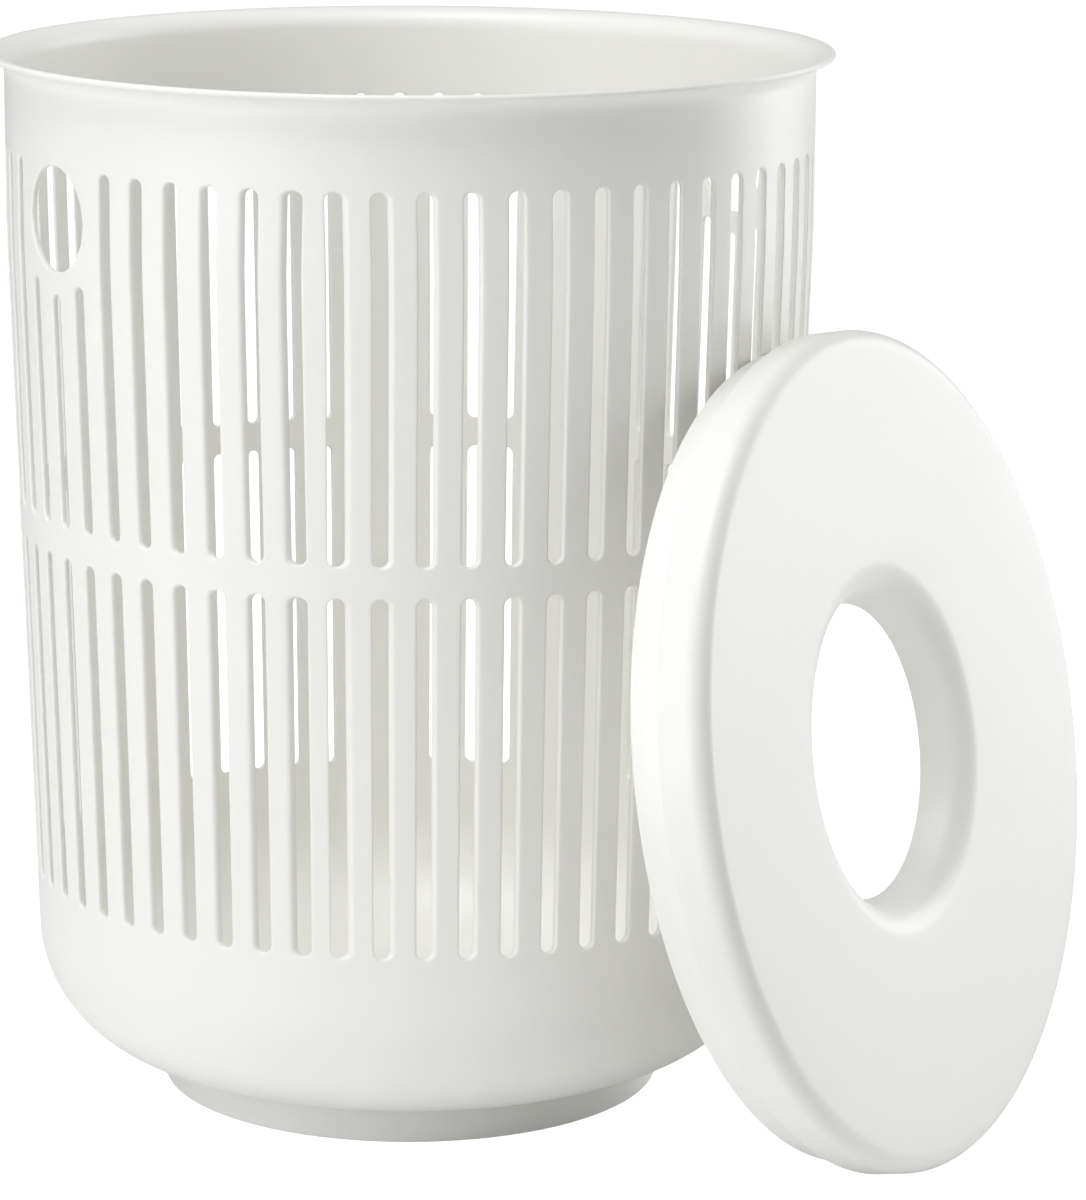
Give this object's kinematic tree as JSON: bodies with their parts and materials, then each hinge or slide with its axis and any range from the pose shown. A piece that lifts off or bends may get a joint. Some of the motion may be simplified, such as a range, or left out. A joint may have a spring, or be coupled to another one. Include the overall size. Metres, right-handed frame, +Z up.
{
  "type": "laundry hamper with lid",
  "caption": "Round slotted plastic laundry basket on a foot ring, with two hand holes, and a loose round lid with a finger hole leaning on its side.",
  "frame": {"origin": "centre of the basket's foot ring, on the floor", "axes": "+Z up along the basket's axis; +X and -X towards the two hand holes; the lid leans on the side towards +X and -Y"},
  "size_m": [0.49, 0.5255, 0.5],
  "materials": {
    "basket_plastic": "satin, injection moulded, off-white",
    "lid_plastic": "satin, injection moulded, off-white"
  },
  "bodies": {
    "hamper": {"basket": "basket_plastic"},
    "lid": {"lid": "lid_plastic"}
  },
  "joints": [
    {"name": "lift_off", "type": "slide", "parent": "hamper", "child": "lid", "axis": [0.4486, -0.8729, 0.192], "range_m": [0, 0.25]}
  ]
}
